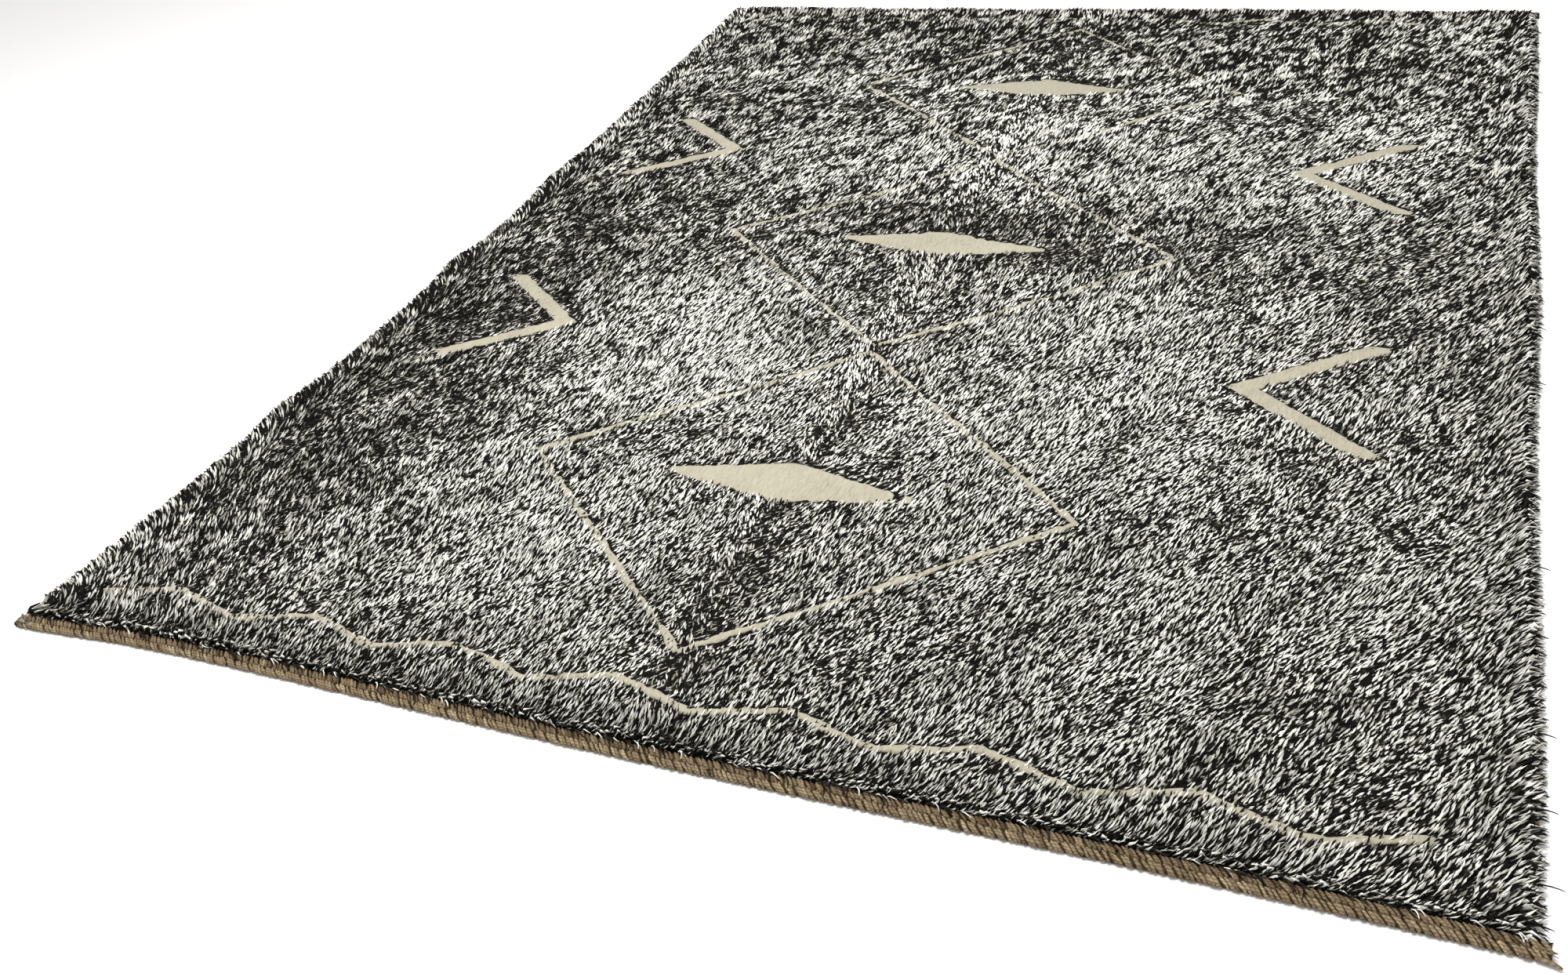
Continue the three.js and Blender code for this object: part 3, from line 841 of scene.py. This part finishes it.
def yarn_uv(column, sides, alongs):
    """UVs in the yarn's own column: across the column round the yarn, and up it from root to end."""
    u = (column[:, None] + 0.5 + COLUMN_HALF * np.array(sides)[None, :]) / TONES
    v = np.broadcast_to(np.array(alongs)[None, :], u.shape)
    return np.stack([u, v], axis=2).reshape(-1, 2)


# Two shapes of a yarn: a full one with a thin root, a bend, a keel and a blunt end, for the rim, and a
# slim one with a ridge from its root to its tip, for the many inside
FULL_FACES = np.array([(0, 2, 1), (0, 3, 2), (0, 1, 3), (1, 2, 5),
                       (1, 5, 4), (3, 4, 5), (3, 5, 2), (3, 1, 4)])
FULL_KEEL_DEPTH = 1.7
FULL_END_WIDTH = 0.8
SLIM_FACES = np.array([(0, 3, 1), (0, 1, 2), (1, 3, 2), (0, 2, 3)])
SLIM_WIDTH = 1.3
SLIM_SUNK = 0.5


def yarns(name, form, width, x, y, drop, swing, seed):
    """A piece of many yarns of one of the two shapes, from the places of their roots."""
    root, middle, end, side, half, random = lay_yarns(x, y, width, drop, seed)
    across = side * half[:, None]
    column = tone_columns(x, y, random, swing)
    if form is FULL_FACES:
        keel = middle * 0.45 + end * 0.55
        keel[:, 2] -= FULL_KEEL_DEPTH * half
        tip = across * FULL_END_WIDTH
        points = [root, middle + across, middle - across, keel, end + tip, end - tip]
        uv = yarn_uv(column, [0, -1, 1, 0, -1, 1], [0.02, 0.4, 0.4, 0.6, 0.98, 0.98])
    else:
        wide = middle * 0.5 + end * 0.5
        wide[:, 2] = root[:, 2] * 0.4 + end[:, 2] * 0.6 - SLIM_SUNK * half
        points = [root, wide + SLIM_WIDTH * across, end, wide - SLIM_WIDTH * across]
        uv = yarn_uv(column, [0, -1, 0, 1], [0.1, 0.6, 0.98, 0.6])
    faces = (form[None] + len(points) * np.arange(len(x))[:, None, None]).reshape(-1, 3)
    points = np.stack(points, axis=1).reshape(-1, 3)
    points[:, 2] = np.maximum(points[:, 2], mm)
    return mesh_piece(name, points, faces, uv)


# Painted shade on every yarn: dark lines along its twist, TWISTS_ALONG turns to its length, and a darker
# root, from ROOT_LIGHT at the root up over the SHADED_ROOT share of its length.
TWISTS_ALONG = 9
SHADED_ROOT = 0.4
ROOT_LIGHT = 0.2


def yarn_material(name, stops, twist_shade_depth):
    """Plied wool yarn: a tone for each column of its UV map, with painted shade in twist lines across it and
    at its root.
    """
    made, tree = new_material(name)
    map_of = add(tree, "UVMap", uv_map="OFBake").outputs["UV"]
    split = add(tree, "SeparateXYZ", {"Vector": map_of})
    column = add(tree, "Math", {0: split.outputs["X"], 1: TONES}, operation="MULTIPLY").outputs[0]
    number = add(tree, "Math", {0: column}, operation="FLOOR").outputs[0]
    tone = add(tree, "Math", {0: number, 1: TONES - 1}, operation="DIVIDE").outputs[0]
    colour = add(tree, "ValToRGB", {"Fac": tone}, stops=stops).outputs["Color"]
    slope = add(tree, "Math", {0: split.outputs["Y"], 1: TWISTS_ALONG}, operation="MULTIPLY").outputs[0]
    phase = add(tree, "Math", {0: column, 1: slope}, operation="ADD").outputs[0]
    turns = add(tree, "Math", {0: phase, 1: 2 * math.pi}, operation="MULTIPLY").outputs[0]
    wave = add(tree, "Math", {0: turns}, operation="SINE").outputs[0]
    twist_shade = add(tree, "MapRange", {"Value": wave, "From Min": -1, "From Max": 1, "To Min": 1 - twist_shade_depth,
                                   "To Max": 1}).outputs["Result"]
    root = add(tree, "MapRange", {"Value": split.outputs["Y"], "From Min": 0, "From Max": SHADED_ROOT,
                                  "To Min": ROOT_LIGHT, "To Max": 1}).outputs["Result"]
    light = add(tree, "Math", {0: twist_shade, 1: root}, operation="MULTIPLY").outputs[0]
    shaded = add(tree, "Mix", {0: 1.0, 6: colour, 7: light}, data_type="RGBA",
                 blend_type="MULTIPLY").outputs[2]
    shader = add(tree, "BsdfPrincipled", {"Base Color": shaded, "Roughness": 0.85,
                                          "Specular IOR Level": WOOL_GLOSS})
    add(tree, "OutputMaterial", {"Surface": shader.outputs["BSDF"]})
    return made


# Undyed pale wool: matt, from stone grey to off-white, its greyer tones partly the nap's painted shade, with
# painted shade just showing in the twist of its two plies.
PALE_STOPS = [(0, "#8C897D"), (0.25, "#CAC7BC"), (0.6, "#F0EEE4"), (1, "#FFFEF6")]
pale_wool = yarn_material("plied_pale_wool", PALE_STOPS, 0.14)
# Black-dyed wool: nearly no light comes back, and only its ends look brown.
BLACK_STOPS = [(0, "#0A0907"), (0.6, "#15130F"), (1, "#2C2822")]
black_wool = yarn_material("plied_black_wool", BLACK_STOPS, 0.2)

ROW_DROP = 7 * mm


def shag(name, material, width, pitch, rim_pitch, pieces, share, fewer, paler, swing, seed):
    """All yarns of one colour: the rows at the rim, and those over the pile in bands along the rug.

    Share is how many there are at the near end, and fewer how much of that is gone at the far end. Paler
    is 1 for yarns in pale locks and -1 for those in dark ones, and swing is how far their tone changes."""

    # More black yarns and fewer pale ones stand in the nap's painted shade zones, and the reverse in its
    # painted light.
    def keep(x, y):
        clumped = LOCK_SHARE + LOCK_SHARE_OPENED * opened(x, y)
        swung = NAP_SHADE_SHARE * nap_shade_and_tone(x, y) + clumped * lock(x, y)
        return share * (1 - fewer * opened(x, y)) + paler * swung

    x, y = rim_rows(rim_pitch, seed + 1)
    drop = np.random.default_rng(seed + 2).uniform(0, ROW_DROP, len(x))
    rows = yarns(f"{name}_rim", FULL_FACES, RIM_WIDTH, x, y, drop, swing, seed + 3)
    finish_piece(rows, material)
    x, y = scattered(pitch, seed, keep)
    for number, chosen in enumerate(np.array_split(np.argsort(y, kind="stable"), pieces)):
        x1, y1 = x[chosen], y[chosen]
        drop = -paler * LOCK_LIFT * lock(x1, y1)
        band = yarns(f"{name}_{number + 1}", SLIM_FACES, width, x1, y1, drop, swing, seed + 10 + number)
        finish_piece(band, material, rounded=False)


shag("pale_shag", pale_wool, PALE_WIDTH, PALE_PITCH, PALE_RIM_PITCH,
     pieces=3, share=0.78, fewer=0.5, paler=1, swing=0.27, seed=31)
shag("black_shag", black_wool, BLACK_WIDTH, BLACK_PITCH, BLACK_RIM_PITCH,
     pieces=2, share=0.92, fewer=0.3, paler=-1, swing=0.1, seed=131)

# Bindings
# Thick taupe yarn sewn over the cloth's raw edge. At the ends two rows of slanting stitches lie side by
# side like a plait, and at the sides a single row makes a thinner cord that the pile hides.

STITCH_PITCH = 5.6 * mm
STITCH_SHIFT = 1.1 * mm
STITCH_LOOSE = 0.6 * mm
STITCH_SLANT = 0.1
STITCH_SIDES = 5
STITCH_FULLNESS = (0.74, 1.16)
STITCH_TONE = 0.16
ROW_START, ROW_END = 1 * mm, 8 * mm
CORE_END = [(-20.4, 0), (-4, 0), (-2.4, 1.4), (-2.3, 5.2), (-4, 7), (-11, 7.8), (-20.4, 7.4), (-20.4, 6.2),
            (-3.1, 6.2), (-3.1, 2.6), (-20.4, 2.6)]
CORE_SIDE = [(-10.6, 0), (-3.2, 0), (-1.7, 1.4), (-1.6, 4.8), (-3, 6.6), (-10.6, 7), (-10.6, 6.2),
             (-2.2, 6.2), (-2.2, 2.6), (-10.6, 2.6)]

# Taupe wool carpet yarn: matt, warm grey-brown, paler on its crowns and nearly black in its holes, both
# painted as light and shade along its twist.
TAUPE_STOPS = [(0, "#5A4A36"), (0.4, "#86745A"), (0.75, "#9A886B"), (1, "#B3A283")]
binding_wool = yarn_material("taupe_carpet_yarn", TAUPE_STOPS, 0.5)
# The same yarn packed under the stitches, in their shade, with fibres every couple of millimetres.
PACKED_FIBRES_PER_M = 420
core_wool, tree = new_material("shaded_taupe_yarn")
place = add(tree, "TexCoord").outputs["Object"]
fibres = add(tree, "TexNoise", {"Vector": place, "Scale": PACKED_FIBRES_PER_M, "Detail": 3}).outputs["Fac"]
colour = add(tree, "ValToRGB", {"Fac": fibres},
             stops=[(0.35, "#1E160C"), (0.65, "#4B3D29")]).outputs["Color"]
bump = add(tree, "Bump", {"Height": fibres, "Strength": 0.6, "Distance": 1 * mm}).outputs["Normal"]
shader = add(tree, "BsdfPrincipled", {"Base Color": colour, "Roughness": 0.95, "Normal": bump,
                                      "Specular IOR Level": WOOL_GLOSS})
add(tree, "OutputMaterial", {"Surface": shader.outputs["BSDF"]})

NO_YARN_RUNS = [0.13, 0.21, 0.97]  # a direction that no yarn here runs in


def tubes(paths, radii, sides, columns):
    """Yarns as tubes with closed ends: paths holds each one's points, and radii its radius at each."""
    paths, radii = np.asarray(paths, float), np.asarray(radii, float)
    count, rings = radii.shape
    tangent = np.gradient(paths, axis=1)
    tangent /= np.linalg.norm(tangent, axis=2, keepdims=True)
    first = np.cross(tangent, NO_YARN_RUNS)
    first /= np.linalg.norm(first, axis=2, keepdims=True)
    second = np.cross(first, tangent)
    turns = np.arange(sides) * 2 * math.pi / sides
    around = (first[:, :, None] * np.cos(turns)[None, None, :, None]
              + second[:, :, None] * np.sin(turns)[None, None, :, None])
    points = paths[:, :, None] + around * radii[:, :, None, None]
    starts = rings * sides * np.arange(count)
    faces = (tube_faces(rings, sides)[None] + starts[:, None, None]).reshape(-1, 3)
    round_yarn = COLUMN_HALF * np.cos(turns + 0.4)
    u = (columns[:, None, None] + 0.5 + round_yarn[None, None, :]) / TONES
    v = np.broadcast_to(np.linspace(0.5, 0.98, rings)[None, :, None], (count, rings, sides))
    uv = np.stack([np.broadcast_to(u, v.shape), v], axis=3).reshape(-1, 2)
    return points.reshape(-1, 3), faces, uv


def core(name, line, along, sign, section):
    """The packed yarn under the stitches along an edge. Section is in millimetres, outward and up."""
    stops, outer = line
    count = len(section)
    rings = []
    for out, z in section:
        place = [stops, outer + sign * out * mm, np.full(len(stops), z * mm)]
        if along == 1:
            place[0], place[1] = place[1], place[0]
        rings.append(np.stack(place, axis=1))
    vertices = np.stack(rings, axis=1).reshape(-1, 3)
    faces = []
    for k in range(len(stops) - 1):
        for p in range(count):
            a, b = k * count + p, k * count + (p + 1) % count
            faces += [(a, b, b + count, a + count)]
    piece = mesh_piece(name, vertices, np.array(faces))
    select_only(piece)
    bpy.ops.object.mode_set(mode="EDIT")
    bpy.ops.mesh.select_mode(type="EDGE")
    bpy.ops.mesh.select_all(action="DESELECT")
    bpy.ops.mesh.select_non_manifold()
    bpy.ops.mesh.edge_face_add()
    bpy.ops.mesh.select_all(action="SELECT")
    bpy.ops.mesh.normals_make_consistent(inside=False)
    bpy.ops.object.mode_set(mode="OBJECT")
    return piece


# Rows of stitches in millimetres: distance outward from the binding's outer face, height and slant along
# the edge, with the yarn's radius at each of the four places
END_UPPER_ROW = [(-20.5, 8.6, 0), (-16.5, 9.6, 3.4), (-12, 9.6, 7.2), (-8.4, 8.2, 10)]
END_LOWER_ROW = [(-11, 7.6, 0), (-6, 8.4, 4), (-2, 5.6, 8.5), (-2.2, 2, 11.5)]
SIDE_ROW = [(-10, 7, 0), (-5.5, 8, 2.5), (-1.6, 5.6, 6), (-1.8, 2, 8)]
ROW_RADII = [1.3, 2.1, 2.2, 1.6]
END_ROWS = [(END_UPPER_ROW, 0.3), (END_LOWER_ROW, 0.6)]  # each with its tone
SIDE_ROWS = [(SIDE_ROW, 0.5)]


def stitch_row(line, along, sign, row, tone, seed):
    """One row of slanting stitches sewn along an edge."""
    random = np.random.default_rng(seed)
    stops, outer = line
    starts = np.arange(stops[0] + ROW_START, stops[-1] - ROW_END, STITCH_PITCH)
    starts = starts + random.normal(0, STITCH_SHIFT, len(starts))
    loose = random.normal(0, STITCH_LOOSE, (len(starts), len(row)))
    paths = np.zeros((len(starts), len(row), 3))
    for k, (out, z, slant) in enumerate(row):
        run = starts + slant * mm * (1 + random.normal(0, STITCH_SLANT, len(starts)))
        reach = np.interp(run, stops, outer) + sign * (out * mm + loose[:, k])
        paths[:, k, 0], paths[:, k, 1] = (run, reach) if along == 0 else (reach, run)
        paths[:, k, 2] = np.maximum(z * mm + loose[:, k] * 0.6, 1.2 * ROW_RADII[k] * mm)
    radii = np.array(ROW_RADII) * mm * random.uniform(*STITCH_FULLNESS, (len(starts), 1))
    columns = np.clip((random.normal(tone, STITCH_TONE, len(starts)) * TONES).astype(int), 0, TONES - 1)
    return tubes(paths, np.broadcast_to(radii, paths.shape[:2]), STITCH_SIDES, columns)


def binding_piece(node, line, along, sign, section, rows, seed, more=()):
    """One binding: its core and its rows of stitches, which take the place of the plain solid."""
    sewn = [stitch_row(line, along, sign, row, tone, seed + k) for k, (row, tone) in enumerate(rows)]
    stitches = mesh_piece(f"{node}_stitches", *stacked([*sewn, *more]))
    finish_piece(stitches, binding_wool)
    packed = finish_piece(core(f"{node}_core", line, along, sign, section), core_wool)
    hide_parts(node)
    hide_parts(node)


# The tied-off tail at the near right corner: the lower row runs on past the corner and the upper one
# frays. In millimetres from the corner: right, forward, height and radius
TAIL = [(-14, 2.5, 4.6, 2.6), (-6, 1.5, 4.4, 2.8), (1, 0.2, 3.9, 2.4), (6, -1.5, 3.1, 1.7),
        (9, -2.6, 2.2, 0.9)]
FRAYED = [(-16, 12, 8.8, 1.6), (-9, 11, 9, 1.5), (-3, 10, 8.6, 1.2), (2, 9, 8, 0.8), (5, 8.6, 7.4, 0.4)]
TAIL_LOWEST = 1.8
STRAND_THICK = 0.72
TAIL_TONES = (8, 20)


def tail_yarns(route, copies, spread_mm, seed):
    """Several strands along one route, which spread out towards their ends."""
    random = np.random.default_rng(seed)
    shift = random.normal(0, spread_mm, (copies, 1, 3)) * np.linspace(0.5, 1.6, len(route))[None, :, None]
    paths = np.array([[(px, py, pz) for px, py, pz, _ in route]] * copies) + shift
    paths[:, :, 2] = np.maximum(paths[:, :, 2], TAIL_LOWEST)
    paths = paths * mm + np.array([NEAR_LINE[0][-1], NEAR_LINE[1][-1], 0])
    radii = np.broadcast_to(np.array([r for *_, r in route]) * mm, paths.shape[:2]) * STRAND_THICK
    return tubes(paths, radii, STITCH_SIDES, random.integers(*TAIL_TONES, copies))


binding_piece("binding_near", NEAR_LINE, 0, -1, CORE_END, END_ROWS, 60,
              [tail_yarns(TAIL, 4, 0.9, 70), tail_yarns(FRAYED, 6, 1.2, 71)])
binding_piece("binding_far", FAR_LINE, 0, 1, CORE_END, END_ROWS, 62)
binding_piece("binding_left", LEFT_LINE, 1, -1, CORE_SIDE, SIDE_ROWS, 64)
binding_piece("binding_right", RIGHT_LINE, 1, 1, CORE_SIDE, SIDE_ROWS, 65)

# Loose ends
# Longer yarns that have worked free: pale and black ones that curl over the end bindings, four at the
# near end for each at the far end, and a few black ones that stick out past the right edge.

CURL_HEIGHTS = [(0, 13), (0.3, 14.6), (0.6, 13), (0.85, 11.2), (1, 9.6)]  # share of its run, and mm
CURL_TAPER = [0.7, 1, 1, 0.8, 0.4]
CURL_ROOT_MM = (18, 23)
CURL_LENGTHS = (0.6, 1.1)
NEAR_CURL_DEGREES = (-32, -4)
FAR_CURL_DEGREES = (15, 60)
CURL_LEFT, CURL_RIGHT = 30 * mm, 40 * mm


def curls(name, count, seed, material, length, thick, tones):
    """Loose yarns that start in the pile at both ends and droop over the binding."""
    random = np.random.default_rng(seed)
    paths = []
    for k in range(count):
        sign = -1 if k % 5 else 1
        line = near_at if sign < 0 else far_at
        x0 = random.uniform(cad_box[0].x + CURL_LEFT, cad_box[1].x - CURL_RIGHT)
        y0 = line(x0) - sign * random.uniform(*CURL_ROOT_MM) * mm
        slant = math.radians(random.uniform(*(NEAR_CURL_DEGREES if sign < 0 else FAR_CURL_DEGREES)))
        run = length * random.uniform(*CURL_LENGTHS)
        hook = random.normal(-0.2, 0.5)
        route = []
        for share, height in CURL_HEIGHTS:
            turn = slant + hook * (share - 0.4)
            route.append((x0 + run * share * math.cos(turn), y0 + run * share * math.sin(turn), height * mm))
        paths.append(route)
    radii = np.broadcast_to(np.array(CURL_TAPER) * thick / 2, (count, len(CURL_TAPER)))
    points, faces, uv = tubes(paths, radii, 4, random.integers(*tones, count))
    finish_piece(mesh_piece(name, points, faces, uv), material)


curls("loose_pale_ends", 64, 80, pale_wool, length=14 * mm, thick=1.6 * mm, tones=(8, 22))
curls("loose_black_ends", 130, 81, black_wool, length=22 * mm, thick=2 * mm, tones=(10, TONES))

# The strays' places along the right edge, in metres, and how far they reach from their roots
STRAYS = [(-1.27, 24 * mm), (-1.22, 33 * mm), (-1.12, 27 * mm), (-1.01, 26 * mm), (-0.72, 27 * mm),
          (-0.29, 25 * mm), (0.815, 26 * mm)]
STRAY_ROOT = 10 * mm
STRAY_RADII = [0.9, 1.0, 0.9, 0.7, 0.4]
STRAY_TONE = 6
stray_paths = []
for y0, reach in STRAYS:
    x0 = float(right_at(y0)) - STRAY_ROOT
    stray_paths.append([(x0 + reach * s, y0 + reach * (0.35 * s - 0.25 * s * s), (16 - 4 * s * s) * mm)
                        for s in (0, 0.3, 0.6, 0.85, 1)])
radii = np.broadcast_to(np.array(STRAY_RADII) * mm, (len(STRAYS), len(STRAY_RADII)))
points, faces, uv = tubes(stray_paths, radii, 4, np.full(len(STRAYS), STRAY_TONE))
finish_piece(mesh_piece("stray_yarns", points, faces, uv), black_wool)

# Floor, light and camera
# A plain pale studio floor under broad soft light, seen from above the near right corner.

bpy.context.scene.view_settings.view_transform = "Standard"

# Matt floor paint, just off white.
floor_paint, tree = new_material("pale_studio_floor")
shader = add(tree, "BsdfPrincipled", {"Base Color": linear("#F6F5F3"), "Roughness": 0.9})
add(tree, "OutputMaterial", {"Surface": shader.outputs["BSDF"]})
bpy.ops.mesh.primitive_plane_add(size=60, location=(0, 0, -mm / 2))
floor = bpy.context.object
floor.name = "floor"
floor.data.materials.append(floor_paint)

world = bpy.data.worlds.new("studio")
bpy.context.scene.world = world
world.use_nodes = True
world.node_tree.nodes["Background"].inputs["Color"].default_value = linear("#FFFFFF")
world.node_tree.nodes["Background"].inputs["Strength"].default_value = 0.7


def soft_light(name, place, target, size, power):
    lamp = bpy.data.lights.new(name, "AREA")
    lamp.size = size
    lamp.energy = power
    made = bpy.data.objects.new(name, lamp)
    made.location = place
    made.rotation_euler = (Vector(target) - Vector(place)).to_track_quat("-Z", "Y").to_euler()
    bpy.context.scene.collection.objects.link(made)


soft_light("key_light", place=(-0.4, -0.7, 3.4), target=(0.1, 0, 0), size=1.6, power=150)

EYE = (0.78, -2.29, 1.226)
TURNED_LEFT = 27.14
TILTED_DOWN = 35.21
ROLLED = -8.61
FOCAL_SHARE = 1849 / 2000
SENSOR_MM = 36
lens = bpy.data.cameras.new("camera")
lens.sensor_width = SENSOR_MM
lens.lens = SENSOR_MM * FOCAL_SHARE
lens.clip_start = 0.05
camera = bpy.data.objects.new("camera", lens)
bpy.context.scene.collection.objects.link(camera)
camera.matrix_world = (
    Matrix.Translation(EYE)
    @ Matrix.Rotation(math.radians(TURNED_LEFT), 4, "Z")
    @ Matrix.Rotation(math.radians(90 - TILTED_DOWN), 4, "X")
    @ Matrix.Rotation(math.radians(ROLLED), 4, "Z")
)
bpy.context.scene.camera = camera
